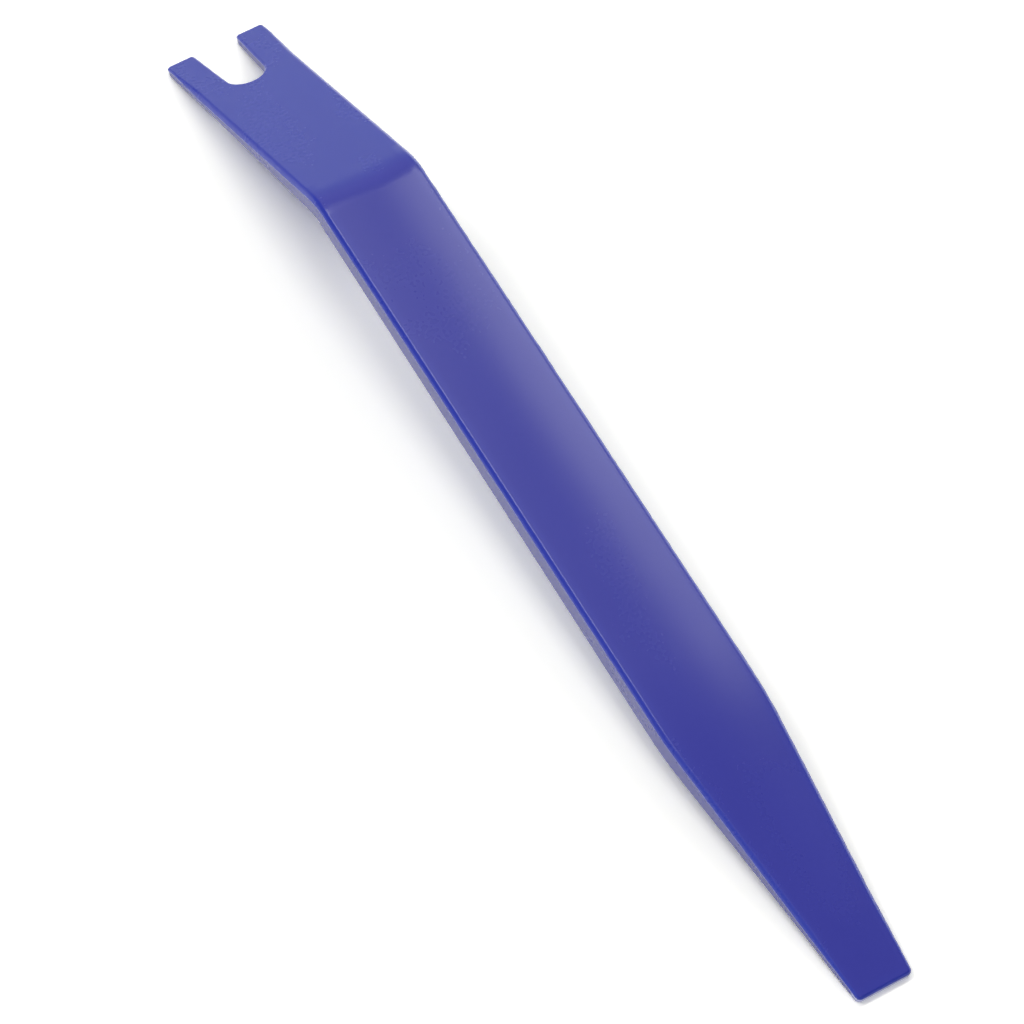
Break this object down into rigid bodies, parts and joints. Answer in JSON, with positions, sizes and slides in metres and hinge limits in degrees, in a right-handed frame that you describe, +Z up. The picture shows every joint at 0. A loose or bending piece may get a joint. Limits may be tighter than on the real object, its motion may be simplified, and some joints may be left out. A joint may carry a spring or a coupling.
{
  "type": "trim removal tool",
  "caption": "One-piece moulded plastic pry tool with a crowned handle, a notched fork bent down at one end and a tapering chisel blade at the other, for lifting clips and trim.",
  "frame": {"origin": "middle of the footprint, on the surface that the tool rests on", "axes": "+X from the fork to the blade, Y across the width, +Z up"},
  "size_m": [0.2026, 0.018, 0.0241],
  "materials": {
    "blue_plastic": "satin, finely textured by the mould"
  },
  "bodies": {
    "root": {"trim_tool": "blue_plastic"}
  },
  "joints": []
}
